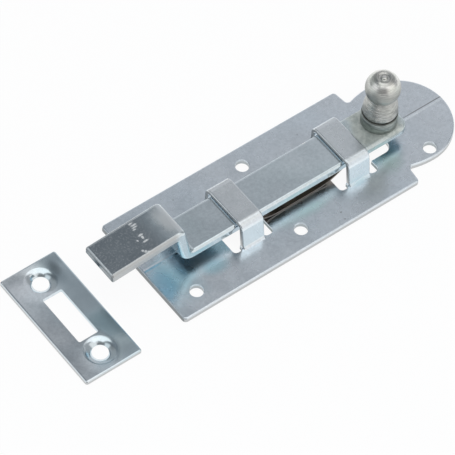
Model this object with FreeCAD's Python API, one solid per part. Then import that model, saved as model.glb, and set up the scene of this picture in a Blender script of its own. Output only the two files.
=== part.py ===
# Cranked bolt: a flat bolt bar on a pressed mounting plate, with its strike plate.
#
# Frame: millimetres, +Z up, the plate's back face on z = 0. The bolt slides along X, its cranked
# head at the -X end and its knob at the +X end. The origin lies on the back face, midway between
# the plate's two middle screw holes. The bolt is drawn thrown out, as it stands when locked.
import FreeCAD, Part
import math
import os

V = FreeCAD.Vector

# Mounting plate
plate_l = 120.5          # overall length, over the rounded end
plate_w = 44.0
plate_t = 1.7
plate_head = 50.6        # from the middle screw holes to the plate's head end
lobe_l = 26.6            # rounded end, from the notches to its tip
lobe_w = 34.4            # width of the rounded end
lobe_neck_w = 31.2       # its width at the notches
plate_corner_r = 1.3
notch_r = 1.2            # inside corners at the shoulders
shoulder_slant = 0.7     # how far the shoulders fall back toward the plate's sides
edge_roll = 0.65         # rolled top edge that blanking leaves
crease_w = 0.65          # low pressed ridge along the middle of the plate, half its width
crease_h = 0.1

# Screw holes of the plate
screw_hole_d = 4.5
screw_rim = 0.25         # rounded rim
screw_side = 15.2        # from the middle line to the holes of the straight part
screw_pitch = 41.0       # middle pair to head end pair
lobe_hole_side = 13.6
lobe_hole_end = 16.3     # from the tip of the rounded end

# Guide loops, lanced out of the plate and pressed up over the bar
loop_w = 8.6             # along X
loop_from_head = 35.3    # from the plate's head end to the middle of the first loop
loop_from_tip = 42.9     # from the middle of the second loop to the tip of the rounded end
loop_side_gap = 0.65     # bar to the leg, at the height of the loop's top
loop_t = 1.65            # the sheet thins a little in the press
loop_lean = 1.5          # how far the near leg leans in over its height
loop_lean_far = 0.3      # the same for the far leg, at +Y
loop_outer_r = 2.8
loop_inner_r = 0.8
loop_edge = 0.5          # rounded outer edges
foot_r = 1.2             # bend between leg and plate
slot_head = 3.3          # slot beside the leg, on the head side
slot_knob = 3.6          # slot beside the leg, on the knob side
slot_end_r = 1.4
slot_over = 0.2          # how far the slots reach past the foot

# Window behind the second loop, where the knob is riveted
window_past_knob = 1.1   # how far it reaches past the knob's axis
window_w = 14.0
window_r = 3.0

# Bolt bar
bar_w = 14.2
bar_t = 3.7
bar_z = 6.0              # underside of the bar above the plate's back face
tail_past_knob = 7.2     # from the knob's axis to the tail end
bar_throw = 17.0         # head end beyond the plate's head end
crank_h = 13.2           # height of the crank, bar to head
head_drop = 1.75         # how far the head's end lies below the crank's top
riser_x = 7.7            # riser's outer face below the head, from the plate's head end
riser_lean = 2.9         # how far that face leans back over the crank's height
riser_t = 3.8            # the press thins the riser, measured along X
crank_top_r = 2.5
crank_under_r = 1.0
crank_out_r = 5.0
crank_in_r = 1.5
tail_r = 3.4
head_corner_r = 0.5
bar_edge = 1.05
bar_gap = 0.3            # bar to the underside of the loops

# Knob, turned in one piece and riveted through the bar
knob_from_tip = 27.3     # from the axis to the tip of the plate's rounded end
collar_d = 11.9
collar_h = 4.8
groove_d = 10.4
groove_h = 0.6
skirt_d = 11.5
neck_d = 8.8
neck_z = 13.0            # above the bar
ball_d = 11.5
ball_z = 16.6            # ball's middle above the bar
top_flat_d = 5.0
ring_d = 3.6             # turned ring on the flat top
ring_depth = 0.3
pip_d = 1.4
pip_h = 0.5
turned_edge = 0.3        # broken edges
skirt_r = 0.4            # rounding below the skirt
spigot_d = 6.0
spigot_gap = 0.03        # spigot to the hole in the bar
rivet_d = 8.4
rivet_h = 1.0
rivet_crown = 0.9        # rounding of the rivet's head

# Bow spring under the bar, between the loops
spring_w = 12.4
spring_t = 0.6
spring_under = 2.0       # how far the tips reach under each loop
spring_bend_r = 17.0
spring_tip_r = 5.0
spring_gap = 0.15        # tips to the bar

# Strike plate, lying apart beyond the bolt's head
strike_l = 46.0
strike_w = 21.0
strike_t = 1.35
strike_x = 27.45         # its middle, beyond the plate's head end
strike_corner_r = 0.8
strike_slot_l = 19.5
strike_slot_w = 7.3
strike_slot_r = 0.6
strike_hole_d = 5.4
strike_hole_side = 15.6
dimple_d = 10.8          # pressed bowl round each hole
dimple_depth = 1.15      # from the face to the hole's edge
dimple_lip = 3.0         # slope of the bowl at its rim, in degrees: it steepens to the hole

# Places that follow from the sizes above
x_head = -plate_head                     # plate's head end
x_tip = x_head + plate_l
x_shoulder = x_tip - lobe_l
x_knob = x_tip - knob_from_tip
x_tail = x_knob + tail_past_knob
bar_top = bar_z + bar_t
loop_top = bar_top + bar_gap + loop_t
loop_mid_x = [x_head + loop_from_head, x_tip - loop_from_tip]
loop_half = bar_w / 2 + loop_side_gap + loop_t    # outer half width of a loop at its top
foot_near = loop_half + loop_lean        # the same at the plate, at -Y
foot_far = loop_half + loop_lean_far     # and at +Y
spring_x = sum(loop_mid_x) / 2


def closed_face(points):
    """Planar face of a polygon whose corners (a, b, r) are rounded with radius r, in the XY plane."""
    n = len(points)
    edges, last, first = [], None, None
    for i in range(n):
        a, b, r = points[i]
        corner = V(a, b, 0)
        if r:
            back = (V(points[i - 1][0], points[i - 1][1], 0) - corner).normalize()
            ahead = (V(points[(i + 1) % n][0], points[(i + 1) % n][1], 0) - corner).normalize()
            half = back.getAngle(ahead) / 2
            cut = r / math.tan(half)
            start, end = corner + back * cut, corner + ahead * cut
            middle = corner + (back + ahead).normalize() * (r / math.sin(half) - r)
            arc = Part.Arc(start, middle, end).toShape()
        else:
            start, end, arc = corner, corner, None
        if last is not None and (start - last).Length > 1e-7:
            edges.append(Part.makeLine(last, start))
        if arc:
            edges.append(arc)
        first = first or start
        last = end
    if (first - last).Length > 1e-7:
        edges.append(Part.makeLine(last, first))
    return Part.Face(Part.Wire(edges))


def plan_prism(points, z0, z1):
    """Prism over a plan outline of (x, y, r) corners."""
    face = closed_face(points)
    face.translate(V(0, 0, z0))
    return face.extrude(V(0, 0, z1 - z0))


def side_prism(points, y0, y1):
    """Prism over a side outline of (x, z, r) corners, extruded along Y."""
    face = closed_face(points)
    face.rotate(V(0, 0, 0), V(1, 0, 0), 90)
    face.translate(V(0, y0, 0))
    return face.extrude(V(0, y1 - y0, 0))


def cross_prism(points, x0, x1):
    """Prism over a cross section of (y, z, r) corners, extruded along X."""
    face = closed_face(points)
    face.rotate(V(0, 0, 0), V(1, 0, 0), 90)
    face.rotate(V(0, 0, 0), V(0, 0, 1), 90)
    face.translate(V(x0, 0, 0))
    return face.extrude(V(x1 - x0, 0, 0))


def rectangle(x0, x1, y0, y1, r):
    return [(x0, y0, r), (x1, y0, r), (x1, y1, r), (x0, y1, r)]


def plumb_edges(shape, places, tol=0.05):
    """Upright edges of the shape that stand at the given (x, y) places."""
    found = []
    for edge in shape.Edges:
        box = edge.BoundBox
        if box.XLength < tol and box.YLength < tol and box.ZLength > tol:
            if any(math.hypot(box.XMin - x, box.YMin - y) < tol for x, y in places):
                found.append(edge)
    return found


def level_edges(shape, z, keep=lambda edge: True, tol=1e-4):
    """Edges that lie wholly at height z."""
    return [e for e in shape.Edges
            if abs(e.BoundBox.ZMin - z) < tol and abs(e.BoundBox.ZMax - z) < tol and keep(e)]


def drilled(shape, places, d, rim, top):
    """Holes of diameter d through the shape, with a rounded rim at height top."""
    for x, y in places:
        shape = shape.cut(Part.makeCylinder(d / 2, 4 * top, V(x, y, -top)))
    rims = [e for e in level_edges(shape, top)
            if isinstance(e.Curve, Part.Circle) and abs(e.Curve.Radius - d / 2) < 1e-6]
    return shape.makeFillet(rim, rims)


def lobe():
    """Rounded end of the plate: a half circle, and flanks that draw in towards the shoulders."""
    half, neck = lobe_w / 2, lobe_neck_w / 2
    x_mid = x_tip - half
    run, drop = x_mid - x_shoulder, half - neck
    flank_r = (run ** 2 + drop ** 2) / (2 * drop)
    turn = math.asin(run / flank_r) / 2
    side_x, side_y = x_mid - flank_r * math.sin(turn), half - flank_r * (1 - math.cos(turn))
    x_in = x_shoulder - 2 * plate_t
    pts = [V(x_in, -neck, 0), V(x_shoulder, -neck, 0), V(x_mid, -half, 0), V(x_tip, 0, 0),
           V(x_mid, half, 0), V(x_shoulder, neck, 0), V(x_in, neck, 0)]
    edges = [Part.makeLine(pts[0], pts[1]),
             Part.Arc(pts[1], V(side_x, -side_y, 0), pts[2]).toShape(),
             Part.Arc(pts[2], pts[3], pts[4]).toShape(),
             Part.Arc(pts[4], V(side_x, side_y, 0), pts[5]).toShape(),
             Part.makeLine(pts[5], pts[6]), Part.makeLine(pts[6], pts[0])]
    return Part.Face(Part.Wire(edges)).extrude(V(0, 0, plate_t))


def loop_strap(x_mid):
    """One guide loop: feet, leaning legs and flat top, of even thickness, its outer edges rounded."""
    under, floor = loop_top - loop_t, plate_t - loop_t

    def side(s, foot):
        slope = (foot - loop_half) / (loop_top - plate_t)
        wall = loop_t * math.sqrt(1 + slope ** 2)
        reach = foot + 2.2 * foot_r

        def leg(z):
            return foot - slope * (z - plate_t)

        outer = [(s * reach, floor, 0), (s * reach, plate_t, 0), (s * leg(plate_t), plate_t, foot_r),
                 (s * leg(loop_top), loop_top, loop_outer_r)]
        inner = [(s * (leg(under) - wall), under, loop_inner_r),
                 (s * (leg(floor) - wall), floor, foot_r + loop_t)]
        return outer, inner

    far_out, far_in = side(1, foot_far)
    near_out, near_in = side(-1, foot_near)
    points = far_out + near_out[::-1] + near_in[::-1] + far_in
    strap = cross_prism(points, x_mid - loop_w / 2, x_mid + loop_w / 2)
    edges = []
    for e in strap.Edges:
        middle = e.valueAt((e.FirstParameter + e.LastParameter) / 2)
        side_y = loop_half - loop_t / 2
        if e.BoundBox.XLength < 1e-6 and middle.z > plate_t + foot_r:
            if middle.z > loop_top - loop_t / 2 or middle.y > side_y + 1e-6 or middle.y < -side_y - 1e-6:
                edges.append(e)
    return strap.makeFillet(loop_edge, edges)


def base_plate():
    half = plate_w / 2
    neck, x_out, r = lobe_neck_w / 2, x_shoulder - shoulder_slant, plate_corner_r
    outline = [(x_head, -half, r), (x_out, -half, r), (x_shoulder, -neck, 0),
               (x_shoulder, neck, 0), (x_out, half, r), (x_head, half, r)]
    body = plan_prism(outline, 0, plate_t)
    body = body.fuse(lobe()).removeSplitter()
    corners = [(x_shoulder, s * neck) for s in (-1, 1)]
    body = body.makeFillet(notch_r, plumb_edges(body, corners))
    body = body.makeFillet(edge_roll, level_edges(body, plate_t))

    line = [(-crease_w, plate_t - crease_h, 0), (crease_w, plate_t - crease_h, 0),
            (crease_w, plate_t, 0), (0, plate_t + crease_h, 0), (-crease_w, plate_t, 0)]
    body = body.fuse(cross_prism(line, x_head + edge_roll, x_tip - edge_roll)).removeSplitter()

    slot_near, slot_far = foot_near + slot_over, foot_far + slot_over
    for x_mid in loop_mid_x:
        x0, x1 = x_mid - loop_w / 2, x_mid + loop_w / 2
        for a, b in ((x0 - slot_head, x0), (x1, x1 + slot_knob)):
            r = min(slot_end_r, (b - a) * 0.49)
            body = body.cut(plan_prism(rectangle(a, b, -slot_near, slot_far, r), -plate_t, 2 * plate_t))
        near, far = foot_near - loop_t, foot_far - loop_t
        body = body.cut(Part.makeBox(loop_w + slot_head / 2 + slot_knob / 2, near + far, 4 * plate_t,
                                     V(x0 - slot_head / 2, -near, -plate_t)))
    x_slot = loop_mid_x[1] + loop_w / 2 + slot_knob
    x_in, x_end, side = x_slot - slot_knob / 2, x_knob + window_past_knob, window_w / 2
    window = [(x_in, -side, 0), (x_end, -side, window_r), (x_end, side, window_r), (x_in, side, 0)]
    body = body.cut(plan_prism(window, -plate_t, 2 * plate_t))

    places = [(x, s * screw_side) for x in (0.0, -screw_pitch) for s in (-1, 1)]
    places += [(x_tip - lobe_hole_end, s * lobe_hole_side) for s in (-1, 1)]
    body = drilled(body, places, screw_hole_d, screw_rim, plate_t)

    for x_mid in loop_mid_x:
        body = body.fuse(loop_strap(x_mid))
    return body.removeSplitter()


def bolt_bar():
    x_end, top = x_head - bar_throw, bar_top + crank_h
    x_out = x_head + riser_x
    x_low = x_out + riser_lean
    lean = riser_lean / crank_h
    end_top = top - head_drop
    points = [(x_end, end_top, 0), (x_end, end_top - bar_t, 0), (x_out, top - bar_t, crank_under_r),
              (x_low, bar_z, crank_out_r), (x_tail, bar_z, 0), (x_tail, bar_top, 0),
              (x_low + riser_t - lean * bar_t, bar_top, crank_in_r),
              (x_out + riser_t - lean * bar_t, top, crank_top_r)]
    bar = side_prism(points, -bar_w / 2, bar_w / 2)
    tail = plumb_edges(bar, [(x_tail, s * bar_w / 2) for s in (-1, 1)])
    bar = bar.makeFillet(tail_r, tail)
    head = plumb_edges(bar, [(x_end, s * bar_w / 2) for s in (-1, 1)])
    bar = bar.makeFillet(head_corner_r, head)
    rims = {}
    for face in bar.Faces:
        u0, u1, v0, v1 = face.ParameterRange
        if abs(abs(face.normalAt((u0 + u1) / 2, (v0 + v1) / 2).y) - 1) < 1e-6:
            for edge in face.Edges:
                if edge.BoundBox.ZLength < bar_t * 0.9 or edge.BoundBox.XLength > 0.2:
                    rims[edge.hashCode()] = edge
    bar = bar.makeFillet(bar_edge, list(rims.values()))
    hole = Part.makeCylinder(spigot_d / 2 + spigot_gap, 4 * bar_t, V(x_knob, 0, bar_z - bar_t))
    return bar.cut(hole)


def knob():
    x, z = x_knob, bar_top
    ball_r = ball_d / 2
    neck_at = ball_z - math.sqrt(ball_r ** 2 - (neck_d / 2) ** 2)
    top_z = ball_z + math.sqrt(ball_r ** 2 - (top_flat_d / 2) ** 2)
    skirt_z = collar_h + groove_h

    def line(a, b):
        return Part.makeLine(V(a[0], 0, a[1]), V(b[0], 0, b[1]))

    def arc(a, m, b):
        return Part.Arc(V(a[0], 0, a[1]), V(m[0], 0, m[1]), V(b[0], 0, b[1])).toShape()

    soft, edge = skirt_r, turned_edge
    skirt_top = (neck_d / 2, min(neck_z, neck_at))
    bell = ((skirt_d + neck_d) / 4 + edge, (skirt_z + soft + skirt_top[1]) / 2)
    outline = [
        ("l", (0, -bar_t - rivet_h), (rivet_d / 2 - rivet_crown, -bar_t - rivet_h)),
        ("a", (rivet_d / 2 - rivet_crown * 0.29, -bar_t - rivet_h * 0.71), (rivet_d / 2, -bar_t)),
        ("l", None, (spigot_d / 2, -bar_t)),
        ("l", None, (spigot_d / 2, 0)),
        ("l", None, (collar_d / 2 - edge, 0)),
        ("l", None, (collar_d / 2, edge)),
        ("l", None, (collar_d / 2, collar_h - edge)),
        ("l", None, (collar_d / 2 - edge, collar_h)),
        ("l", None, (groove_d / 2, collar_h)),
        ("l", None, (groove_d / 2, skirt_z)),
        ("l", None, (skirt_d / 2 - soft, skirt_z)),
        ("a", (skirt_d / 2 - soft * 0.3, skirt_z + soft * 0.3), (skirt_d / 2, skirt_z + soft)),
        ("a", bell, skirt_top),
        ("l", None, (neck_d / 2, neck_at)) if neck_at - skirt_top[1] > 1e-6 else None,
        ("a", (ball_r, ball_z), (top_flat_d / 2, top_z)),
        ("l", None, (ring_d / 2 + edge, top_z)),
        ("l", None, (ring_d / 2, top_z - ring_depth)),
        ("l", None, (pip_d / 2 + edge, top_z - ring_depth)),
        ("l", None, (pip_d / 2, top_z - ring_depth + pip_h)),
        ("l", None, (0, top_z - ring_depth + pip_h)),
        ("l", None, (0, -bar_t - rivet_h)),
    ]
    edges, at = [], None
    for step in outline:
        if step is None:
            continue
        kind, via, to = step
        if at is None:
            edges.append(line(via, to))
        elif kind == "l":
            edges.append(line(at, to))
        else:
            edges.append(arc(at, via, to))
        at = to
    solid = Part.Face(Part.Wire(edges)).revolve(V(0, 0, 0), V(0, 0, 1), 360)
    solid.translate(V(x, 0, z))
    return solid


def drag_spring():
    """Bow of spring strip: its flat middle lies on the plate, its tips press on the bar."""
    seat = plate_t + crease_h                 # it stands on the plate's ridge
    rise = bar_z - spring_gap - spring_t - seat
    turn = math.acos(1 - rise / (spring_bend_r + spring_tip_r))
    z_low = seat + spring_t / 2
    reach = (spring_bend_r + spring_tip_r) * math.sin(turn)
    between = loop_mid_x[1] - loop_mid_x[0] - loop_w
    h = between / 2 + spring_under - reach    # half of the flat middle

    def path_edges(offset):
        """Edges from the middle outward, offset upward from the strip's centre line."""
        c1 = V(h, 0, z_low + spring_bend_r)
        r1 = spring_bend_r - offset

        def on1(a):
            return c1 + V(r1 * math.sin(a), 0, -r1 * math.cos(a))

        c2 = V(h + reach, 0, z_low + rise - spring_tip_r)
        r2 = spring_tip_r + offset

        def on2(a):
            return c2 + V(-r2 * math.sin(a), 0, r2 * math.cos(a))

        return [V(h, 0, z_low + offset), on1(turn / 2), on1(turn), on2(turn / 2), on2(0)]

    up, low = path_edges(spring_t / 2), path_edges(-spring_t / 2)

    def mirror(p):
        return V(-p.x, p.y, p.z)

    def half(points):
        return [Part.Arc(points[0], points[1], points[2]).toShape(),
                Part.Arc(points[2], points[3], points[4]).toShape()]

    edges = [Part.makeLine(mirror(up[0]), up[0])] + half(up) + [Part.makeLine(up[4], low[4])]
    edges += half(low) + [Part.makeLine(low[0], mirror(low[0]))] + half([mirror(p) for p in low])
    edges += [Part.makeLine(mirror(low[4]), mirror(up[4]))] + half([mirror(p) for p in up])
    wire = Part.Wire(Part.__sortEdges__(edges))
    face = Part.Face(wire)
    face.translate(V(spring_x, -spring_w / 2, 0))
    return face.extrude(V(0, spring_w, 0))


def strike_plate():
    x = x_head - strike_x
    w, l = strike_w / 2, strike_l / 2
    body = plan_prism(rectangle(x - w, x + w, -l, l, strike_corner_r), 0, strike_t)
    body = body.makeFillet(edge_roll, level_edges(body, strike_t))
    w, l = strike_slot_w / 2, strike_slot_l / 2
    body = body.cut(plan_prism(rectangle(x - w, x + w, -l, l, strike_slot_r), -strike_t, 2 * strike_t))
    hole_r, rim_r = strike_hole_d / 2, dimple_d / 2
    lip = math.radians(dimple_lip)
    chord = math.atan(dimple_depth / (rim_r - hole_r))
    steep = 2 * chord - lip                   # slope at the hole
    bend_r = (rim_r - hole_r) / (math.sin(steep) - math.sin(lip))

    def on(slope):
        return V(rim_r - bend_r * (math.sin(slope) - math.sin(lip)), 0,
                 -bend_r * (math.cos(lip) - math.cos(slope)))

    low, high = V(0, 0, on(steep).z), V(0, 0, strike_t)
    edges = [Part.makeLine(low, on(steep)), Part.Arc(on(steep), on(chord), on(lip)).toShape(),
             Part.makeLine(on(lip), on(lip) + high), Part.makeLine(on(lip) + high, high),
             Part.makeLine(high, low)]
    bowl = Part.Face(Part.Wire(edges)).revolve(V(0, 0, 0), V(0, 0, 1), 360)
    for s in (-1, 1):
        y = s * strike_hole_side
        body = body.cut(Part.makeCylinder(hole_r, 4 * strike_t, V(x, y, -strike_t)))
        body = body.cut(bowl.translated(V(x, y, strike_t)))
    return body


NODES = {
    "base_plate": base_plate,
    "bolt_bar": bolt_bar,
    "knob": knob,
    "drag_spring": drag_spring,
    "strike_plate": strike_plate,
}

os.makedirs("parts", exist_ok=True)
for name, make in NODES.items():
    shape = make()
    solids = shape.Solids
    if len(solids) != 1 or not solids[0].isValid():
        raise RuntimeError("%s: %d solids, valid %s" % (name, len(solids), shape.isValid()))
    solid = solids[0]
    if solid.Volume < 0:
        solid.reverse()
    solid.exportStep("parts/%s.step" % name)
    box = solid.BoundBox
    print("%-13s %8.1f mm3  x %.2f..%.2f  y %.2f..%.2f  z %.2f..%.2f"
          % (name, solid.Volume, box.XMin, box.XMax, box.YMin, box.YMax, box.ZMin, box.ZMax))
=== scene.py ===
# %% [markdown]
# A cranked bolt in zinc-plated steel
#
# The real object is a surface bolt for a door or a gate: a flat bar with a cranked head slides
# through two loops that were pressed up out of the mounting plate, and a turned knob moves it.
# Its strike plate lies beside it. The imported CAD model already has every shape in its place, so
# this lesson loads it first and measures it, before anything is added.

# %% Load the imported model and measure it
import bpy, bmesh, math
from mathutils import Matrix, Vector


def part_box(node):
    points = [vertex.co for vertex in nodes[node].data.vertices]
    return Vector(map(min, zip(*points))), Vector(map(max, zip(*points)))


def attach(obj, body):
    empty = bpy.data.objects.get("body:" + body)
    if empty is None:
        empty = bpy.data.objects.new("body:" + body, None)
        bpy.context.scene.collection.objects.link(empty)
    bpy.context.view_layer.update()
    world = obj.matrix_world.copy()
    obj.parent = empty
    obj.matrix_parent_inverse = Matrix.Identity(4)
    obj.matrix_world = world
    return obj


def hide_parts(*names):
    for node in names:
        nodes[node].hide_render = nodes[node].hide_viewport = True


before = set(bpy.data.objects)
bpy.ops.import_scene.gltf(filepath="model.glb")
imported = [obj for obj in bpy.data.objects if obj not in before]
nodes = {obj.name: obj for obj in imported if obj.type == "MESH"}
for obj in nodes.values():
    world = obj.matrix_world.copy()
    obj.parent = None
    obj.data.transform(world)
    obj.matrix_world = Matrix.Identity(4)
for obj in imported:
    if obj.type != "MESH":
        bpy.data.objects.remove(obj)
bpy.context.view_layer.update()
mm = 0.001
for name in sorted(nodes):
    low, high = ([round(v / mm, 1) for v in corner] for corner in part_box(name))
    print("%-13s from %s to %s mm" % (name, low, high))

# %% [markdown]
# The camera
#
# A camera is a place, a direction and a focal length. These numbers were fitted to the straight
# edges and the screw holes of the bolt, so the render lines up with the picture. Azimuth turns
# round the object, elevation is the height above the horizon, and roll tilts the frame. The lens
# is long, because the picture's far edges are almost as wide as its near ones.


# %% Put a thing in the scene
def put(name, data):
    """A new object with this mesh, curve, lamp or camera."""
    thing = bpy.data.objects.new(name, data)
    bpy.context.scene.collection.objects.link(thing)
    return thing


# %% Stand the camera where the picture was taken
azimuth, elevation, roll = (math.radians(v) for v in (-41.031, 53.576, -4.627))
focal_px, image_px, sensor = 3412.1, 455, 36
aside, above, away = -13.776 * mm, -8.557 * mm, 1076.98 * mm
nearest, farthest = 0.05, 20

back = Vector((math.sin(azimuth) * math.cos(elevation), -math.cos(azimuth) * math.cos(elevation),
               math.sin(elevation)))
level = Vector((math.cos(azimuth), math.sin(azimuth), 0))
steep = back.cross(level)
right = level * math.cos(roll) - steep * math.sin(roll)
up = level * math.sin(roll) + steep * math.cos(roll)

camera = put("camera", bpy.data.cameras.new("camera"))
camera.data.sensor_width = sensor
camera.data.lens = sensor * focal_px / image_px
camera.data.clip_start, camera.data.clip_end = nearest, farthest
turn = Matrix((right, up, back)).transposed()
camera.matrix_world = Matrix.Translation(right * aside + up * above + back * away) @ turn.to_4x4()
bpy.context.scene.camera = camera
bpy.context.scene.view_settings.view_transform = "Standard"
print("lens %.1f mm, camera at %s" % (camera.data.lens, [round(v, 3) for v in camera.location]))

# %% [markdown]
# Writing materials in short lines
#
# A material is a small graph of nodes. A few helpers keep the cells short. The first adds a node
# and fills its inputs, where an input may be a plain value or the output of another node. The
# others each add one kind of node that every material here needs, and give back its output.


# %% Helpers that add one node
def add(tree, kind, inputs, **settings):
    node = tree.nodes.new(kind)
    for key, value in settings.items():
        setattr(node, key, value)
    for key, value in inputs.items():
        if isinstance(value, bpy.types.NodeSocket):
            tree.links.new(value, node.inputs[key])
        else:
            node.inputs[key].default_value = value
    return node


def maths(tree, operation, a, b=0.0):
    return add(tree, "ShaderNodeMath", {0: a, 1: b}, operation=operation).outputs[0]


def vector(tree, operation, inputs, output=0):
    return add(tree, "ShaderNodeVectorMath", inputs, operation=operation).outputs[output]


def noise(tree, place, scale, detail, **inputs):
    """A cloudy pattern from 0 to 1."""
    inputs = {"Vector": place, "Scale": scale, "Detail": detail, **inputs}
    return add(tree, "ShaderNodeTexNoise", inputs).outputs[0]


def ramped(tree, value, start, stop, low=0.0, high=1.0):
    """A smooth step: low until the value reaches start, high from stop on."""
    return add(tree, "ShaderNodeMapRange", {"Value": value, "From Min": start, "From Max": stop,
               "To Min": low, "To Max": high}, interpolation_type="SMOOTHSTEP").outputs[0]


def painted(tree, colour, mask, paint, share=1.0):
    """The colour with a paint over it where the mask is 1, as strongly as the share says."""
    if share != 1.0:
        mask = maths(tree, "MULTIPLY", mask, share)
    old, new = (v if isinstance(v, bpy.types.NodeSocket) else (*v, 1) for v in (colour, paint))
    return add(tree, "ShaderNodeMix", {"Factor": mask, 6: old, 7: new}, data_type="RGBA").outputs[2]


# %% [markdown]
# A mask is a value from 0 to 1 that says where an effect shows. Most of them here are made from
# places on the piece, in millimetres as on a drawing: a ramp rises from 0 to 1 between two places,
# and masks are multiplied where both have to hold, or the larger is taken where either will do.


# %% Helpers for masks
def millimetres(tree, place):
    """The x, y and z of a place, in millimetres."""
    scaled = vector(tree, "SCALE", {0: place, "Scale": 1 / mm})
    return add(tree, "ShaderNodeSeparateXYZ", {0: scaled}).outputs


def distance(tree, value, middle=0.0):
    """How far a value lies from the middle, on either side."""
    return maths(tree, "ABSOLUTE", maths(tree, "SUBTRACT", value, middle))


def both(tree, *masks):
    """Where all the masks are."""
    total = masks[0]
    for mask in masks[1:]:
        total = maths(tree, "MULTIPLY", total, mask)
    return total


def either(tree, *masks):
    """Where any of the masks is."""
    total = masks[0]
    for mask in masks[1:]:
        total = maths(tree, "MAXIMUM", total, mask)
    return total


# %% Helpers that start a group or a material
def new_group(name, inputs, outputs):
    """A shader node group: inputs are (name, kind, value), outputs (name, kind)."""
    tree = bpy.data.node_groups.new(name, "ShaderNodeTree")
    for label, kind, value in inputs:
        socket = tree.interface.new_socket(label, in_out="INPUT", socket_type="NodeSocket" + kind)
        if value is not None:
            socket.default_value = value
    for label, kind in outputs:
        tree.interface.new_socket(label, in_out="OUTPUT", socket_type="NodeSocket" + kind)
    return tree, tree.nodes.new("NodeGroupInput").outputs, tree.nodes.new("NodeGroupOutput").inputs


def place_group(tree, group, inputs):
    return add(tree, "ShaderNodeGroup", inputs, node_tree=group).outputs


def new_material(name, metallic=1.0):
    """An empty material: returns it, its tree, its Principled shader and the object's coordinates."""
    material = bpy.data.materials.new(name)
    material.use_nodes = True
    tree = material.node_tree
    tree.nodes.clear()
    shader = add(tree, "ShaderNodeBsdfPrincipled", {"Metallic": metallic})
    add(tree, "ShaderNodeOutputMaterial", {"Surface": shader.outputs[0]})
    return material, tree, shader, add(tree, "ShaderNodeTexCoord", {}).outputs["Object"]


# %% [markdown]
# White surroundings
#
# The bolt lies on a white table with nothing round it. Strong lamps could burn the background
# white, but they would bleach the steel too. So the world and the table glow only for rays that
# come from the camera, a mirror or glass, which the Light Path node tells apart, and the bolt
# itself gets no more than a plain soft light.


# %% The rays that see white
def white_rays(tree):
    path = tree.nodes.new("ShaderNodeLightPath").outputs
    return either(tree, path["Is Camera Ray"], path["Is Glossy Ray"], path["Is Transmission Ray"])


# %% The world
sky_colour, sky_strength, white = (0.93, 0.95, 1, 1), 0.75, (1, 1, 1, 1)
world = bpy.data.worlds.new("studio")
bpy.context.scene.world = world
world.use_nodes = True
tree = world.node_tree
tree.nodes.clear()
sky = add(tree, "ShaderNodeBackground", {"Color": sky_colour, "Strength": sky_strength})
backdrop = add(tree, "ShaderNodeBackground", {"Color": white, "Strength": 1.0})
blend = add(tree, "ShaderNodeMixShader", {0: white_rays(tree), 1: sky.outputs[0], 2: backdrop.outputs[0]})
add(tree, "ShaderNodeOutputWorld", {"Surface": blend.outputs[0]})
print("world: %d nodes" % len(tree.nodes))

# %% The white table
table_white, table_size, table_top = (0.86, 0.86, 0.86, 1), 6.0, -0.2 * mm
glow_share = 0.92
table, tree, shader, _ = new_material("white_table", metallic=0.0)
shader.inputs["Base Color"].default_value = table_white
shader.inputs["Roughness"].default_value = 0.7
shader.inputs["Specular IOR Level"].default_value = 0.1
glow = add(tree, "ShaderNodeEmission", {"Color": white, "Strength": 1.0})
glowing = maths(tree, "MULTIPLY", white_rays(tree), glow_share)
blend = add(tree, "ShaderNodeMixShader", {0: glowing, 1: shader.outputs[0], 2: glow.outputs[0]})
tree.links.new(blend.outputs[0], tree.nodes["Material Output"].inputs[0])

floor_mesh = bpy.data.meshes.new("floor")
quarters = ((-1, -1), (1, -1), (1, 1), (-1, 1))
corners = [(a * table_size / 2, b * table_size / 2, table_top) for a, b in quarters]
floor_mesh.from_pydata(corners, [], [(0, 1, 2, 3)])
floor_mesh.materials.append(table)
floor = put("floor", floor_mesh)
print("table: %.0f m square" % table_size)

# %% [markdown]
# What the steel mirrors
#
# Polished steel shows its surroundings, so they matter as much as its own colour. A tent of grey
# paper stands round the table, with a few lighter and darker panels in it, and what each face of
# the bolt shows depends on which panel it looks at. The panels could be planes, but then their
# soft edges would need textures of their own. Here they are masks on one dome: a direction, two
# angles and a soft edge. The camera and the plain light don't see the tent.


# %% Effect: one panel of the tent
def dot(tree, a, b):
    return vector(tree, "DOT_PRODUCT", {0: a, 1: b}, "Value")


panel_group, start, end = new_group("tent_panel", [
    ("Direction", "Vector", None), ("Ahead", "Vector", (0, 0, 1)), ("East", "Vector", (1, 0, 0)),
    ("North", "Vector", (0, 1, 0)), ("Half Width", "Float", 20.0), ("Half Height", "Float", 20.0),
    ("Soft", "Float", 8.0)], [("Mask", "Float")])
degree = math.pi / 180
ways = ("Ahead", "East", "North")
ahead, east, north = (dot(panel_group, start["Direction"], start[way]) for way in ways)
sideways = maths(panel_group, "ARCTAN2", east, ahead)
upward = maths(panel_group, "ARCSINE", north)
inside = []
for angle, half in ((sideways, start["Half Width"]), (upward, start["Half Height"])):
    off = maths(panel_group, "DIVIDE", maths(panel_group, "ABSOLUTE", angle), degree)
    depth = maths(panel_group, "DIVIDE", maths(panel_group, "SUBTRACT", half, off), start["Soft"])
    inside.append(ramped(panel_group, depth, -0.5, 0.5))
panel_group.links.new(both(panel_group, *inside), end["Mask"])

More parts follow.
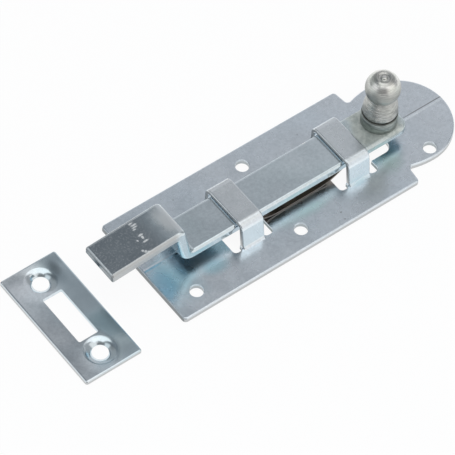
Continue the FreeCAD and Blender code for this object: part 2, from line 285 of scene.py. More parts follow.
# %% The panels: azimuth, elevation, half width, half height and soft edge in degrees, and light
paper = (0.38, 0.39, 0.40)
panels = (
    ("dark_ceiling", 100, 57, 52, 13, 10, (0.22, 0.24, 0.26)),
    ("back_card", 42, 22, 27, 32, 12, (0.61, 0.615, 0.635)),
    ("high_card", -20, 76, 22, 12, 8, (0.80, 0.80, 0.80)),
    ("right_light", -66, 20, 30, 36, 12, (0.98, 0.96, 0.935)),
    ("left_light", 165, 20, 20, 25, 12, (0.85, 0.87, 0.88)),
    ("camera_side", -130, 22, 30, 22, 22, (0.24, 0.24, 0.24)),
    ("ceiling", -112, 79, 29, 23, 9, (1.25, 1.25, 1.24)))
tent_paper, tree, shader, place = new_material("tent_paper", metallic=0.0)
direction = vector(tree, "NORMALIZE", {0: place})
colour = paper
for name, turned_by, raised_by, half_width, half_height, soft_edge, light in panels:
    a, e = math.radians(turned_by), math.radians(raised_by)
    mask = place_group(tree, panel_group, {
        "Direction": direction, "East": (-math.sin(a), math.cos(a), 0),
        "Ahead": (math.cos(a) * math.cos(e), math.sin(a) * math.cos(e), math.sin(e)),
        "North": (-math.cos(a) * math.sin(e), -math.sin(a) * math.sin(e), math.cos(e)),
        "Half Width": half_width, "Half Height": half_height, "Soft": soft_edge})["Mask"]
    colour = painted(tree, colour, mask, light)
    print("%s: radiance %.2f, %d by %d degrees" % (name, light[1], 2 * half_width, 2 * half_height))
glow = add(tree, "ShaderNodeEmission", {"Color": colour, "Strength": 1.0})
tree.links.new(glow.outputs[0], tree.nodes["Material Output"].inputs[0])

# %% The dome that carries them
tent_radius = 1.6
dome = bmesh.new()
bmesh.ops.create_icosphere(dome, subdivisions=5, radius=tent_radius)
tent_mesh = bpy.data.meshes.new("tent")
dome.to_mesh(tent_mesh)
dome.free()
tent_mesh.materials.append(tent_paper)
tent = put("tent", tent_mesh)
for ray in ("camera", "diffuse", "shadow", "transmission", "volume_scatter"):
    setattr(tent, "visible_" + ray, False)
print("tent: %d faces" % len(tent_mesh.polygons))

# %% [markdown]
# One softbox hangs overhead for the plain light and the soft shadow on the table. Mirrors don't
# see it: in the tent, the ceiling panel stands for it with soft edges.

# %% The softbox overhead
softbox = bpy.data.lights.new("softbox", "AREA")
softbox.shape, softbox.size, softbox.size_y = "RECTANGLE", 0.75, 0.8
softbox.energy, softbox.color = 2.5, (1.0, 0.99, 0.98)
holder = put("softbox", softbox)
holder.location = (-0.02, -0.2, 0.8)
holder.rotation_euler = Vector(holder.location).to_track_quat("Z", "Y").to_euler()
holder.visible_glossy = False
print("softbox: %.1f W at %.1f m" % (softbox.energy, holder.location.length))

# %% [markdown]
# What zinc plating looks like close up
#
# Zinc on cold-rolled sheet is never one grey. It has wide soft patches of blue-green where the
# passivation is thicker, a fine satin grain, and small marks from the tumbling in the plating
# barrel. Each of these effects is a node group, because every zinc part here uses them with its
# own numbers. The patches are slow noise between two tints, and a fine mottling lies over them.

# %% Effect: soft patches of another tint
mottle_scale, mottle_dark, mottle_light = 900.0, 0.90, 1.08
tint_group, start, end = new_group("plating_tint", [
    ("Vector", "Vector", None), ("Zinc", "Color", (0.66, 0.74, 0.79, 1)),
    ("Tint", "Color", (0.5, 0.68, 0.76, 1)), ("Patch Scale", "Float", 45.0), ("Amount", "Float", 0.5)],
    [("Color", "Color")])
cloud = noise(tint_group, start["Vector"], start["Patch Scale"], 1.0, Roughness=0.4)
amount = maths(tint_group, "MULTIPLY", ramped(tint_group, cloud, 0.35, 0.75), start["Amount"])
fine = noise(tint_group, start["Vector"], mottle_scale, 4.0, Roughness=0.7)
mottle = ramped(tint_group, fine, 0.2, 0.8, mottle_dark, mottle_light)
toned = painted(tint_group, start["Zinc"], amount, start["Tint"])
tint_group.links.new(vector(tint_group, "SCALE", {0: toned, "Scale": mottle}), end["Color"])

# %% [markdown]
# The satin comes from a fine grain that is too small to see line by line, and the sheet under it
# is never quite flat. Both are heights in millimetres, which a bump turns into a tilt of the
# surface: that is cheaper than real waves, and a mirror shows nothing but the tilt. The roughness
# changes slowly between a smoother and a rougher value.

# %% Effect: satin grain on gently wavy sheet
polish_scale = 140.0
grain_group, start, end = new_group("satin_grain", [
    ("Vector", "Vector", None), ("Stretch", "Vector", (1.0, 1.0, 1.0)), ("Grain Scale", "Float", 1500.0),
    ("Grain Depth", "Float", 0.006), ("Wave Scale", "Float", 60.0), ("Wave Depth", "Float", 0.1),
    ("Smooth", "Float", 0.16), ("Rough", "Float", 0.24)],
    [("Height", "Float"), ("Roughness", "Float")])
drawn = vector(grain_group, "MULTIPLY", {0: start["Vector"], 1: start["Stretch"]})
grain = noise(grain_group, drawn, start["Grain Scale"], 4.0, Roughness=0.6)
wave = noise(grain_group, start["Vector"], start["Wave Scale"], 1.0)
fine = maths(grain_group, "MULTIPLY", grain, start["Grain Depth"])
wide = maths(grain_group, "MULTIPLY", wave, start["Wave Depth"])
grain_group.links.new(maths(grain_group, "ADD", fine, wide), end["Height"])
dulled = ramped(grain_group, noise(grain_group, start["Vector"], polish_scale, 2.0), 0.3, 0.7)
spread = maths(grain_group, "SUBTRACT", start["Rough"], start["Smooth"])
rough = maths(grain_group, "ADD", start["Smooth"], maths(grain_group, "MULTIPLY", spread, dulled))
grain_group.links.new(rough, end["Roughness"])

# %% [markdown]
# Blooms, stains, pits and dings all have a middle, a reach and a ragged rim, so one group makes
# them all: the distance from the middle, with noise added to it, is cut off softly at the reach.

# %% Effect: one spot with a ragged rim
spot_group, start, end = new_group("ragged_spot", [
    ("Vector", "Vector", None), ("Centre", "Vector", (0.0, 0.0, 0.0)), ("Reach", "Vector", (1.0, 1.0, 1.0)),
    ("Ragged", "Float", 0.3), ("Ragged Scale", "Float", 900.0), ("Soft", "Float", 0.3)],
    [("Mask", "Float")])
offset = vector(spot_group, "SUBTRACT", {0: start["Vector"], 1: start["Centre"]})
offset = vector(spot_group, "DIVIDE", {0: offset, 1: start["Reach"]})
length = vector(spot_group, "LENGTH", {0: offset}, "Value")
wobble = noise(spot_group, start["Vector"], start["Ragged Scale"], 3.0)
wobble = maths(spot_group, "MULTIPLY", maths(spot_group, "SUBTRACT", wobble, 0.5), start["Ragged"])
length = maths(spot_group, "ADD", length, maths(spot_group, "MULTIPLY", wobble, 2.0))
full_from = maths(spot_group, "SUBTRACT", 1.0, start["Soft"])
spot_group.links.new(ramped(spot_group, length, 1.0, full_from), end["Mask"])


def spots(tree, place, rows, soft=0.3, ragged=0.3, ragged_scale=900.0):
    """Where any of the spots is, each row (x, y, z, reach x, reach y, reach z) in millimetres."""
    return either(tree, *[place_group(tree, spot_group, {
        "Vector": place, "Centre": [v * mm for v in row[:3]], "Reach": [v * mm for v in row[3:]],
        "Ragged": ragged, "Ragged Scale": ragged_scale, "Soft": soft})["Mask"] for row in rows])


print("shared effects:", sorted(group.name for group in bpy.data.node_groups))

# %% [markdown]
# Every zinc material starts with the tints and the grain, and ends with a bump and three links
# into its shader. What lies between is its own: paints laid one over the other, each with a mask.


# %% The start and the end of every material
def plated(name, zinc, tint, patch, amount, **grain):
    """Tinted zinc with a satin grain: returns material, tree, shader, place, colour, height, roughness."""
    material, tree, shader, place = new_material(name)
    colour = place_group(tree, tint_group, {"Vector": place, "Zinc": (*zinc, 1), "Tint": (*tint, 1),
                         "Patch Scale": patch, "Amount": amount})["Color"]
    satin = place_group(tree, grain_group, {"Vector": place, **grain})
    return material, tree, shader, place, colour, satin["Height"], satin["Roughness"]


def finish(material, shader, colour, height, rough):
    """Fill the material's shader. Heights are in millimetres."""
    tree = material.node_tree
    bump = add(tree, "ShaderNodeBump", {"Height": height, "Strength": 1.0, "Distance": mm})
    for key, value in (("Base Color", colour), ("Roughness", rough), ("Normal", bump.outputs[0])):
        tree.links.new(value, shader.inputs[key])
    print("%s: %d nodes" % (material.name, len(tree.nodes)))


# %% [markdown]
# The mounting plate
#
# Cold-rolled sheet, blanked and pressed, then plated. The grain is fine and even. Painted shade in
# blue-green lies where the crank and the bar shade the plate, with a greener painted reflection below
# the knob and a pale painted reflection beside the spring. A picture could be painted on the sheet,
# but spots and ramps by place in millimetres stay sharp at any size, and they move with the piece.

# %% The sheet, with painted shade and painted reflections
sheet_zinc, tree, shader, place, colour, height, rough = plated(
    "sheet_zinc", (0.74, 0.80, 0.855), (0.66, 0.76, 0.84), 38.0, 0.5, **{
        "Grain Scale": 1300.0, "Grain Depth": 0.014, "Wave Scale": 45.0, "Wave Depth": 0.35,
        "Smooth": 0.22, "Rough": 0.30})
x, y, z = millimetres(tree, place)
cloudy = {"soft": 0.9, "ragged": 0.5, "ragged_scale": 90.0}
teal_painted_shade = spots(tree, place, [
    (-43, -8, 2, 11, 12, 3), (-31, -11, 2, 7, 4, 3), (27, -10, 2, 6, 4, 3)], **cloudy)
green_painted_reflection = spots(tree, place, [(40, -9, 2, 7, 8, 3)], **cloudy)
pale_painted_reflection = spots(tree, place, [(7, -10.8, 2, 15, 3.4, 3)], **cloudy)
# Painted shade and painted reflections where the sheet mirrors the crank, the bar and the spring.
colour = painted(tree, colour, teal_painted_shade, (0.47, 0.70, 0.79), 0.8)
colour = painted(tree, colour, green_painted_reflection, (0.50, 0.66, 0.62), 0.6)
colour = painted(tree, colour, pale_painted_reflection, (0.60, 0.82, 0.82), 0.6)

# %% Painted shade along the pressed ridge past the knob, and a few pits near the sheet's edges
ridge_shade_y = 0.62
ridge_painted_shade = both(tree, ramped(tree, distance(tree, y, ridge_shade_y), 0.28, 0.08), ramped(tree, x, 48, 60))
pits = spots(tree, place, [(14.3, -17.3, 2, 0.45, 0.35, 1), (13.7, -20.1, 2, 0.4, 0.3, 1),
                           (-26, 17, 2, 0.3, 0.3, 1), (22, 15, 2, 0.25, 0.3, 1)], soft=0.6)
# Painted shade beside the ridge, then the pits.
colour = painted(tree, colour, ridge_painted_shade, (0.20, 0.20, 0.20), 0.8)
colour = painted(tree, colour, pits, (0.2, 0.2, 0.2), 0.6)

# %% [markdown]
# The loops' legs are painted brighter, as painted light. The sheared faces of the sheet and the
# loops are plain grey and duller, and the walls of the holes and slots are darker, because they see
# little but each other. The plate's end below the head is the darkest, with painted shade.

# %% Legs and tops of the loops
sheet_top, loop_top, leg_y = 1.7, 11.65, 9.5
loop_middles, loop_width = (-15.3, 27.0), 8.6
loop_faces = [middle + side * loop_width / 2 for middle in loop_middles for side in (-1, 1)]
raised = ramped(tree, z, sheet_top + 0.3, sheet_top + 0.9)
legs_painted_light = both(tree, ramped(tree, distance(tree, y), leg_y - 0.3, leg_y + 0.3), raised)
tops = ramped(tree, z, loop_top - 0.85, loop_top - 0.35)
# Painted light on the loops' legs.
colour = painted(tree, colour, legs_painted_light, (0.85, 0.93, 0.97))
colour = painted(tree, colour, tops, (0.77, 0.79, 0.775), 0.35)

# %% Sheared faces, and the walls of holes and slots
cut_steel = (0.54, 0.555, 0.56)
screw_holes = [(a, b * side) for a, b in ((-41, 15.2), (0, 15.2), (53.6, 13.6)) for side in (-1, 1)]
slots_x, slots_reach, slots_y, head_end = 8.0, 34.0, 13.0, -50.6
loop_sides = either(tree, *[ramped(tree, distance(tree, x, face), 0.12, 0.04) for face in loop_faces])
sheared = either(tree, ramped(tree, z, sheet_top - 0.25, sheet_top - 0.6), both(tree, loop_sides, raised))
in_holes = spots(tree, place, [(a, b, 1, 3, 3, 9) for a, b in screw_holes], soft=0.05, ragged=0.0)
by_loops = both(tree, ramped(tree, distance(tree, x, slots_x), slots_reach + 1, slots_reach - 1),
                ramped(tree, distance(tree, y), slots_y + 0.5, slots_y - 0.5))
in_slots = both(tree, by_loops, maths(tree, "SUBTRACT", 1.0, raised))
wall = painted(tree, cut_steel, in_slots, (0.26, 0.31, 0.32))
wall = painted(tree, wall, in_holes, (0.43, 0.47, 0.49))
colour = painted(tree, colour, sheared, wall)
# Painted shade on the plate's end below the head.
front_painted_shade = ramped(tree, x, head_end + 0.3, head_end + 0.1)
colour = painted(tree, colour, front_painted_shade, (0.20, 0.22, 0.23), 0.85)
rough = maths(tree, "ADD", rough, maths(tree, "MULTIPLY", sheared, 0.16))
finish(sheet_zinc, shader, colour, height, rough)

# %% [markdown]
# The bolt bar
#
# Flat bar stock has been drawn, so its grain runs along it, and it is harder and smoother than the
# sheet. The head has a painted dark reflection towards its end, with pale flecks and a few white
# dings across it where it was knocked. The crank and the head's far edge are frosted, where the
# press stretched the zinc. The same spots and ramps place these marks.

# %% The bar, and its head with a painted dark reflection and pale flecks, in millimetres
bar_half_w, bar_under_z, head_from_z, head_end_x = 7.1, 6.0, 20.0, -67.6
bar_zinc, tree, shader, place, colour, height, rough = plated(
    "bar_zinc", (0.69, 0.765, 0.81), (0.62, 0.74, 0.77), 60.0, 0.5, **{
        "Stretch": (0.3, 1.0, 1.0), "Grain Scale": 1700.0, "Grain Depth": 0.004, "Wave Scale": 50.0,
        "Wave Depth": 0.25, "Smooth": 0.11, "Rough": 0.17})
x, y, z = millimetres(tree, place)
on_head = ramped(tree, z, head_from_z - 0.5, head_from_z + 0.5)
tip_painted_reflection_and_flecks = both(tree, ramped(tree, x, -44.5, -52), on_head)
flecks = both(tree, ramped(tree, noise(tree, place, 1500.0, 3.0), 0.50, 0.68), tip_painted_reflection_and_flecks)
# Painted dark reflection on the head towards its end; the flecks are the zinc's own.
colour = painted(tree, colour, tip_painted_reflection_and_flecks, (0.44, 0.48, 0.51), 0.8)
colour = painted(tree, colour, flecks, (0.75, 0.78, 0.80), 0.6)

# %% Dings across the head and one by the knob, and frosted zinc
dings = spots(tree, place, [
    (-51.9, 5.5, 22.2, 1.12, 0.52, 1), (-51.4, 4.5, 22.2, 1.50, 0.59, 1),
    (-51.6, 3.7, 22.2, 1.38, 0.52, 1), (-52.1, 3, 22.2, 0.88, 0.52, 1),
    (-51.8, 0.3, 22.2, 1.38, 0.55, 1), (-51.8, -0.8, 22.2, 0.56, 1.04, 1),
    (-51.8, -2.4, 22.2, 1.56, 0.52, 1), (-53.8, -0.9, 22.1, 0.44, 0.52, 1),
    (-54.7, -4.8, 22.1, 0.69, 0.65, 1), (-54.1, -5.5, 22.1, 0.75, 0.78, 1),
    (-53.5, -6.3, 22.1, 0.75, 0.78, 1), (17.4, 6.8, 9.5, 1.1, 0.7, 1.4)], soft=0.7, ragged=0.35)
frost = spots(tree, place, [(-41.8, 0, 22.4, 6.0, 10, 3.0), (-55, 7.9, 21.8, 14, 2.3, 2)], soft=0.85,
              ragged=0.3, ragged_scale=300.0)
colour = painted(tree, colour, frost, (0.66, 0.70, 0.72))
colour = painted(tree, colour, dings, (0.90, 0.93, 0.94))

# %% [markdown]
# Grime has settled on the tail round the knob's collar. It is blotchy, greenish and dull, and it
# hides part of the metal, so it also brings down the metallic value.

# %% Grime round the knob
stain = spots(tree, place, [(41, 0, 9.7, 13.5, 13, 3)], soft=0.6, ragged=0.5, ragged_scale=160.0)
blotches = ramped(tree, noise(tree, place, 420.0, 4.0, Roughness=0.7), 0.35, 0.65)
grime = painted(tree, (0.34, 0.375, 0.34), blotches, (0.56, 0.59, 0.54))
colour = painted(tree, colour, stain, grime, 0.85)
tree.links.new(ramped(tree, stain, 0.0, 1.0, 1.0, 0.5), shader.inputs["Metallic"])

# %% [markdown]
# The underside can't be seen itself, but the plate and the strike plate mirror it. Its colour is
# painted shade and light for those mirror images: bluer than the top, and darker under the crank
# and the tail. The head slopes, so its underside is a sloping plane: the mask compares each height
# with that plane. The head's near edge and its end are sheared, so they are plain grey, and the end
# has painted shade.

# %% The underside, the head's near edge and its end
head_under_z, head_under_x, head_rise = 19.2, -42.9, 0.071
head_plane = maths(tree, "MULTIPLY", maths(tree, "SUBTRACT", x, head_under_x), head_rise)
over_plane = maths(tree, "SUBTRACT", z, maths(tree, "ADD", head_plane, head_under_z))
under_head = both(tree, ramped(tree, over_plane, 0.3, 0.1), ramped(tree, x, -40, -43))
under_bar = ramped(tree, z, bar_under_z + 0.15, bar_under_z + 0.03)
off_edges = ramped(tree, distance(tree, y), bar_half_w - 0.1, bar_half_w - 0.7)
underside = both(tree, either(tree, under_head, under_bar), off_edges)
# Painted shade and painted light on the underside, for what the plates mirror.
underside_painted_shade_and_light = painted(tree, (0.30, 0.35, 0.37), ramped(tree, x, -60, -50), (0.50, 0.68, 0.77))
underside_painted_shade_and_light = painted(tree, underside_painted_shade_and_light, ramped(tree, z, 12, 8), (0.29, 0.42, 0.47))
underside_painted_shade_and_light = painted(tree, underside_painted_shade_and_light, ramped(tree, distance(tree, x, 9), 25, 19), (0.66, 0.82, 0.84))
colour = painted(tree, colour, underside, underside_painted_shade_and_light)
near_edge = both(tree, ramped(tree, y, 1.2 - bar_half_w, 0.6 - bar_half_w), ramped(tree, x, -41.5, -44))
colour = painted(tree, colour, near_edge, cut_steel, 0.9)
# Painted shade on the head's end face.
head_end_painted_shade = ramped(tree, x, head_end_x + 0.3, head_end_x + 0.1)
colour = painted(tree, colour, head_end_painted_shade, (0.22, 0.245, 0.26), 0.8)

dull = either(tree, dings, frost, near_edge, maths(tree, "MULTIPLY", stain, 0.8))
rough = maths(tree, "ADD", rough, maths(tree, "MULTIPLY", dull, 0.3))
height = maths(tree, "ADD", height, maths(tree, "MULTIPLY", flecks, 0.004))
finish(bar_zinc, shader, colour, height, rough)

# %% [markdown]
# The strike plate
#
# Steel like the mounting plate's, but smoother. The press drew it down a little round each bowl
# and left it slightly bowed: heights of a few hundredths of a millimetre, which is enough to turn
# what a mirror shows. Such a relief is far below what the CAD model needs, so it is a bump here:
# three gentle parabolas added up, one away from the middle line, one towards the ends and one
# into each bowl.

# %% The relief of the strike plate, in millimetres
strike_x, strike_half_w, strike_half_l, strike_top = -78.05, 10.5, 23.0, 1.35
bowl_y, bowl_reach, ends_from = 15.6, 9.0, 17.0
strike_zinc, tree, shader, place, colour, height, rough = plated(
    "strike_zinc", (0.75, 0.80, 0.84), (0.64, 0.75, 0.81), 60.0, 0.6, **{
        "Grain Scale": 1500.0, "Grain Depth": 0.003, "Wave Scale": 60.0, "Wave Depth": 0.3,
        "Smooth": 0.13, "Rough": 0.19})
x, y, z = millimetres(tree, place)
across = maths(tree, "SUBTRACT", x, strike_x)
reach = add(tree, "ShaderNodeCombineXYZ", {0: across, 1: distance(tree, distance(tree, y), bowl_y)})
reach = vector(tree, "LENGTH", {0: reach.outputs[0]}, "Value")
past_middle = maths(tree, "MINIMUM", across, 0.0)
past_ends = maths(tree, "MAXIMUM", maths(tree, "SUBTRACT", distance(tree, y), ends_from), 0.0)
into_bowl = maths(tree, "MAXIMUM", maths(tree, "SUBTRACT", bowl_reach, reach), 0.0)
for way, steepness in ((past_middle, ramped(tree, y, -20.0, 16.0, 0.0006, 0.0042)),
                       (past_ends, ramped(tree, y, -10.0, 10.0, 0.004, 0.008)), (into_bowl, -0.011)):
    parabola = maths(tree, "MULTIPLY", maths(tree, "MULTIPLY", way, way), steepness)
    height = maths(tree, "ADD", height, parabola)

# %% Painted reflections, painted shade beside the bowls, and the sheared outline
strike_painted_reflection = spots(tree, place, [(-71.5, -8, 2, 2.6, 5, 3), (-78, -20, 2, 8, 3, 3)], soft=0.9, ragged=0.5,
              ragged_scale=110.0)
bluer_painted_reflection = ramped(tree, across, 0.0, 5.0, 0.0, 0.8)
shade = spots(tree, place, [(-71.6, 17.5, 1.3, 2.4, 4.2, 1), (-73.8, 15, 1.3, 1.6, 2.8, 1),
                            (-74.5, -16.2, 1.3, 1.3, 2.4, 1)], soft=0.9, ragged=0.5, ragged_scale=200.0)
near_outline = either(tree, *[ramped(tree, off, half - 0.7, half - 0.3) for off, half in (
    (distance(tree, x, strike_x), strike_half_w), (distance(tree, y), strike_half_l))])
sheared = both(tree, ramped(tree, z, strike_top - 0.3, strike_top - 0.55), near_outline)
# Painted reflections and painted shade, for what the slightly warped sheet mirrors.
colour = painted(tree, colour, strike_painted_reflection, (0.52, 0.68, 0.76), 0.5)
colour = painted(tree, colour, bluer_painted_reflection, (0.60, 0.715, 0.77))
colour = painted(tree, colour, shade, (0.30, 0.34, 0.35), 0.55)
colour = painted(tree, colour, sheared, cut_steel)
rough = maths(tree, "ADD", rough, maths(tree, "MULTIPLY", sheared, 0.2))
finish(strike_zinc, shader, colour, height, rough)

# %% [markdown]
# The bow spring
#
# Tempered strip is dark brown from the heat, with plainer sheared edges. The colour runs in faint
# bands along the strip, so the noise is stretched that way.

# %% Tempered brown strip
spring_half_w = 6.2
strip_brown, tree, shader, place = new_material("strip_brown")
x, y, z = millimetres(tree, place)
along = vector(tree, "MULTIPLY", {0: place, 1: (0.3, 1.0, 1.0)})
bands = ramped(tree, noise(tree, along, 260.0, 4.0), 0.35, 0.65)
colour = painted(tree, (0.20, 0.16, 0.13), bands, (0.34, 0.27, 0.22))
edges = ramped(tree, distance(tree, y), spring_half_w - 0.1, spring_half_w - 0.02)
colour = painted(tree, colour, edges, (0.23, 0.20, 0.175))
satin = place_group(tree, grain_group, {"Vector": place, "Stretch": (0.2, 1.0, 1.0), "Grain Scale": 1800.0,
                    "Grain Depth": 0.006, "Wave Depth": 0.05, "Smooth": 0.3, "Rough": 0.45})
finish(strip_brown, shader, colour, satin["Height"], satin["Roughness"])

# %% [markdown]
# The turned knob
#
# The knob is turned on a lathe: one outline spun round an axis, with the fine ridges that the
# tool leaves. That is a rule, so Geometry Nodes make it: the outline is a curve, the tree shifts
# its points in and out to cut the ridges, and sweeps it round a circle. Modelling it by hand
# would give the same form, but the ridges' pitch and depth couldn't be changed with one number.

# %% The knob's sizes in millimetres, heights above the bar
bar_t, rivet_h, rivet_r, rivet_flat_r, spigot_r = 3.7, 1.0, 4.2, 3.3, 3.0
collar_r, collar_h, broken_edge = 5.95, 4.8, 0.3
groove_r, groove_h = 5.2, 0.6
skirt_r, skirt_round = 5.75, 0.4
grip_r, grip_z = 5.375, 9.35
neck_r, ball_r, ball_z = 4.4, 5.75, 16.6
flat_r, ring_r, ring_deep, pip_r, pip_h, ring_slant = 2.5, 1.8, 0.3, 0.7, 0.5, 0.3
rivet_z = -bar_t - rivet_h
skirt_z = collar_h + groove_h
ball_from = ball_z - math.sqrt(ball_r ** 2 - neck_r ** 2)
flat_z = ball_z + math.sqrt(ball_r ** 2 - flat_r ** 2)
ring_z = flat_z - ring_deep
low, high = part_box("knob")
axis = (low + high) / 2
bar_top = low.z - rivet_z * mm
print("the bar's top is %.2f mm high, the knob's axis at x %.2f mm" % (bar_top / mm, axis.x / mm))


# %% The knob's outline, from its rivet upward
def round_by(a, b, c, step=0.12):
    """Points of the circle through a, b and c, after a up to c."""
    (ax, ay), (bx, by), (cx, cy) = a, b, c
    d = 2 * (ax * (by - cy) + bx * (cy - ay) + cx * (ay - by))
    ux = ((ax**2 + ay**2) * (by - cy) + (bx**2 + by**2) * (cy - ay) + (cx**2 + cy**2) * (ay - by)) / d
    uy = ((ax**2 + ay**2) * (cx - bx) + (bx**2 + by**2) * (ax - cx) + (cx**2 + cy**2) * (bx - ax)) / d
    r = math.hypot(ax - ux, ay - uy)
    t0, t1, t2 = (math.atan2(v - uy, u - ux) for u, v in (a, b, c))
    sweep = (t2 - t0) % math.tau
    if not 0 < (t1 - t0) % math.tau < sweep:
        sweep -= math.tau
    count = max(2, math.ceil(abs(sweep) * r / step))
    return [(ux + r * math.cos(t0 + sweep * i / count), uy + r * math.sin(t0 + sweep * i / count))
            for i in range(1, count + 1)]


outline = [(0, rivet_z), (rivet_flat_r, rivet_z)]
outline += round_by(outline[-1], (3.94, -4.41), (rivet_r, -bar_t))
outline += [(spigot_r, -bar_t), (spigot_r, 0.0), (collar_r - broken_edge, 0.0), (collar_r, broken_edge),
            (collar_r, collar_h - broken_edge), (collar_r - broken_edge, collar_h), (groove_r, collar_h),
            (groove_r, skirt_z), (skirt_r - skirt_round, skirt_z)]
outline += round_by(outline[-1], (5.63, 5.52), (skirt_r, skirt_z + skirt_round))
outline += round_by(outline[-1], (grip_r, grip_z), (neck_r, ball_from))
outline += round_by(outline[-1], (ball_r, ball_z), (flat_r, flat_z))
outline += [(ring_r + ring_slant, flat_z), (ring_r, ring_z), (pip_r + ring_slant, ring_z),
            (pip_r, ring_z + pip_h), (0, ring_z + pip_h)]
print("outline of %d points, %.2f mm high above the bar" % (len(outline), outline[-1][1]))

# %% [markdown]
# The tree gets the outline as a curve, with its radius in x and its height in y. It first cuts
# the ridges: a cosine of the height, made uneven by noise as a hand-held tool would, pulls the
# points inward. Then it sweeps the outline round a small circle, and merges the doubled points.

# %% The lathe, as a geometry node tree
uneven_rate, uneven_gain = 700.0, 1.6
lathe = bpy.data.node_groups.new("lathe", "GeometryNodeTree")
lathe.interface.new_socket("Geometry", in_out="INPUT", socket_type="NodeSocketGeometry")
for label, kind, value in (("Sides", "Int", 128), ("Ridge Pitch", "Float", 0.55 * mm),
                           ("Ridge Depth", "Float", 0.05 * mm), ("Ridges From", "Float", 16 * mm),
                           ("Ridges To", "Float", 29 * mm), ("Swing Radius", "Float", 1 * mm)):
    socket = lathe.interface.new_socket(label, in_out="INPUT", socket_type="NodeSocket" + kind)
    socket.default_value = value
lathe.interface.new_socket("Finish", in_out="INPUT", socket_type="NodeSocketMaterial")
lathe.interface.new_socket("Geometry", in_out="OUTPUT", socket_type="NodeSocketGeometry")
start, end = lathe.nodes.new("NodeGroupInput").outputs, lathe.nodes.new("NodeGroupOutput").inputs

# %% Cut the ridges
where = add(lathe, "GeometryNodeInputPosition", {}).outputs[0]
tall = add(lathe, "ShaderNodeSeparateXYZ", {0: where}).outputs[1]
phase = maths(lathe, "MULTIPLY", maths(lathe, "DIVIDE", tall, start["Ridge Pitch"]), math.tau)
ridge = maths(lathe, "MULTIPLY", maths(lathe, "SUBTRACT", maths(lathe, "COSINE", phase), 1.0), 0.5)
uneven = add(lathe, "ShaderNodeTexNoise", {"W": maths(lathe, "MULTIPLY", tall, uneven_rate), "Scale": 1.0,
             "Detail": 1.0}, noise_dimensions="1D").outputs[0]
ridge = maths(lathe, "MULTIPLY", ridge, maths(lathe, "MULTIPLY", uneven, uneven_gain))
on_grip = both(lathe, maths(lathe, "GREATER_THAN", tall, start["Ridges From"]),
               maths(lathe, "LESS_THAN", tall, start["Ridges To"]))
ridge = maths(lathe, "MULTIPLY", maths(lathe, "MULTIPLY", ridge, on_grip), start["Ridge Depth"])
inward = add(lathe, "ShaderNodeCombineXYZ", {0: ridge}).outputs[0]
finer = add(lathe, "GeometryNodeSubdivideCurve", {"Curve": start["Geometry"], "Cuts": 1}).outputs[0]
ridged = add(lathe, "GeometryNodeSetPosition", {"Geometry": finer, "Offset": inward}).outputs[0]

# %% Sweep the outline round
to_circle = add(lathe, "ShaderNodeCombineXYZ", {0: maths(lathe, "MULTIPLY", start["Swing Radius"], -1.0)})
shape = add(lathe, "GeometryNodeTransform", {"Geometry": ridged, "Translation": to_circle.outputs[0],
            "Scale": (1, -1, 1)})
shape = add(lathe, "GeometryNodeReverseCurve", {"Curve": shape.outputs[0]})
circle = add(lathe, "GeometryNodeCurvePrimitiveCircle", {"Resolution": start["Sides"],
             "Radius": start["Swing Radius"]}).outputs[0]
shape = add(lathe, "GeometryNodeCurveToMesh", {"Curve": circle, "Profile Curve": shape.outputs[0]})
shape = add(lathe, "GeometryNodeMergeByDistance", {"Geometry": shape.outputs[0], "Distance": 0.002 * mm})
shape = add(lathe, "GeometryNodeSetShadeSmooth", {"Geometry": shape.outputs[0]})
shape = add(lathe, "GeometryNodeRealizeInstances", {"Geometry": shape.outputs[0]})
shape = add(lathe, "GeometryNodeSetMaterial", {"Geometry": shape.outputs[0], "Material": start["Finish"]})
lathe.links.new(shape.outputs[0], end[0])
print("lathe: %d nodes" % len(lathe.nodes))

# %% [markdown]
# The finish of turned steel
#
# Plain turned steel is warmer and duller than the zinc sheet. Grime and thicker passivation make
# the collar greenish and darker, a dark groove parts it from the grip, painted shade greys the knob
# below the ball's middle, and a painted dark reflection lies round the ball. All of this changes
# with height alone, so each mask is a ramp in the height above the bar, as the knob's sizes are.

# %% Turned steel, darker collar and groove, and painted shade and reflection on the ball
turned, tree, shader, place = new_material("turned_steel_rings")
colour = place_group(tree, tint_group, {"Vector": place, "Zinc": (0.90, 0.895, 0.87, 1),
                     "Tint": (0.74, 0.78, 0.73, 1), "Patch Scale": 260.0, "Amount": 0.8})["Color"]
x, y, z = millimetres(tree, place)
over_bar = maths(tree, "SUBTRACT", z, bar_top / mm)
collar = ramped(tree, over_bar, collar_h + 1.1, collar_h + 0.1)
lower_painted_shade = both(tree, ramped(tree, over_bar, ball_z + 4.1, ball_z + 0.1), maths(tree, "SUBTRACT", 1.0, collar))
belly_painted_reflection = both(tree, ramped(tree, over_bar, ball_z + 3.9, ball_z + 0.7),
             ramped(tree, over_bar, ball_z - 4.3, ball_z - 1.8))
top_ring = both(tree, ramped(tree, over_bar, 21.1, 21.45), ramped(tree, over_bar, 21.96, 21.8))
groove = both(tree, ramped(tree, over_bar, collar_h - 0.35, collar_h - 0.05),
              ramped(tree, over_bar, skirt_z + 0.4, skirt_z + 0.1))
colour = painted(tree, colour, collar, (0.34, 0.39, 0.375), 0.9)
# Painted shade below the ball's middle, and a painted dark reflection round it.
colour = painted(tree, colour, lower_painted_shade, (0.48, 0.49, 0.47), 0.8)
colour = painted(tree, colour, belly_painted_reflection, (0.37, 0.385, 0.365), 0.85)
colour = painted(tree, colour, top_ring, (0.40, 0.41, 0.39), 0.6)
colour = painted(tree, colour, groove, (0.10, 0.10, 0.09), 0.8)

# %% [markdown]
# The tool's path shows as fine rings: noise that is stretched almost flat, so that it changes
# quickly with height and hardly at all round the knob. It is half as strong on the ball, which
# was polished after turning.

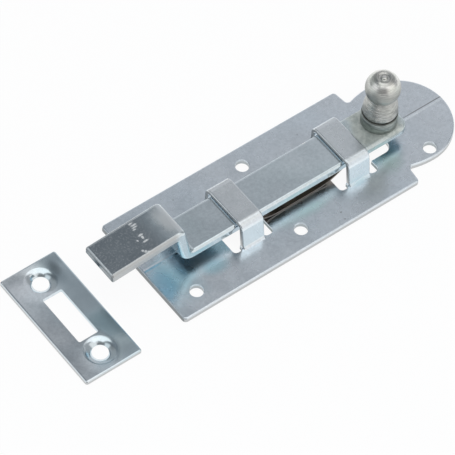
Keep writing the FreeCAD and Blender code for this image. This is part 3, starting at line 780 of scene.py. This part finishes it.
# %% Rings from the tool
flat_noise, ring_depth, ring_dark, ring_light = (0.12, 0.12, 1.0), 0.016, -0.46, 0.14
squeezed = vector(tree, "MULTIPLY", {0: place, 1: flat_noise})
rings = noise(tree, squeezed, 3800.0, 3.0, Roughness=0.6)
strength = ramped(tree, over_bar, ball_z - 1.3, ball_z - 3.8, 0.5, 1.0)
tone = maths(tree, "MULTIPLY", ramped(tree, rings, 0.3, 0.7, ring_dark, ring_light), strength)
colour = vector(tree, "SCALE", {0: colour, "Scale": maths(tree, "ADD", 1.0, tone)})
satin = place_group(tree, grain_group, {"Vector": place, "Grain Scale": 1200.0, "Grain Depth": 0.014,
                    "Wave Depth": 0.02, "Smooth": 0.24, "Rough": 0.34})
cuts = maths(tree, "MULTIPLY", maths(tree, "MULTIPLY", rings, ring_depth), strength)
height = maths(tree, "ADD", cuts, satin["Height"])
rough = maths(tree, "ADD", satin["Roughness"], maths(tree, "MULTIPLY", collar, 0.14))
finish(turned, shader, colour, height, rough)

# %% [markdown]
# Turning it
#
# The outline becomes a curve object with the lathe as its modifier. The evaluated result is kept
# as a plain mesh, because the model that is exported holds no modifiers. It then takes the place
# of the CAD knob and rides on the sliding bolt.

# %% Turn the knob
curve = bpy.data.curves.new("knob_outline", "CURVE")
curve.dimensions = "2D"
line = curve.splines.new("POLY")
line.points.add(len(outline) - 1)
for point, (radius, tall) in zip(line.points, outline):
    point.co = (radius * mm, tall * mm + bar_top, 0, 1)
raw = put("knob_raw", curve)
modifier = raw.modifiers.new("lathe", "NODES")
modifier.node_group = lathe
inputs = {item.name: item.identifier for item in lathe.interface.items_tree if item.in_out == "INPUT"}
modifier[inputs["Finish"]] = turned
evaluated = raw.evaluated_get(bpy.context.evaluated_depsgraph_get())
knob_mesh = bpy.data.meshes.new_from_object(evaluated)
bpy.data.objects.remove(raw)
knob_mesh.transform(Matrix.Translation((axis.x, axis.y, 0)))
turned_knob = put("turned_knob", knob_mesh)
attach(turned_knob, "bolt")
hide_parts("knob")

# %% Is it closed, and is it the right way out?
spun = bmesh.new()
spun.from_mesh(knob_mesh)
open_edges = sum(edge.is_boundary for edge in spun.edges)
volume = spun.calc_volume(signed=True) / mm ** 3
print("knob: %d faces, volume %.1f mm3, open edges %d" % (len(spun.faces), volume, open_edges))
spun.free()

# %% [markdown]
# The CAD pieces keep their shapes and get their finishes. Every slot of a piece takes the same
# material, because each of these pieces is made of one thing.

# %% Give the CAD pieces their finishes
for name, material in (("base_plate", sheet_zinc), ("bolt_bar", bar_zinc), ("strike_plate", strike_zinc),
                       ("drag_spring", strip_brown)):
    for slot in nodes[name].material_slots:
        slot.material = material
    print("%s: %s" % (name, material.name))
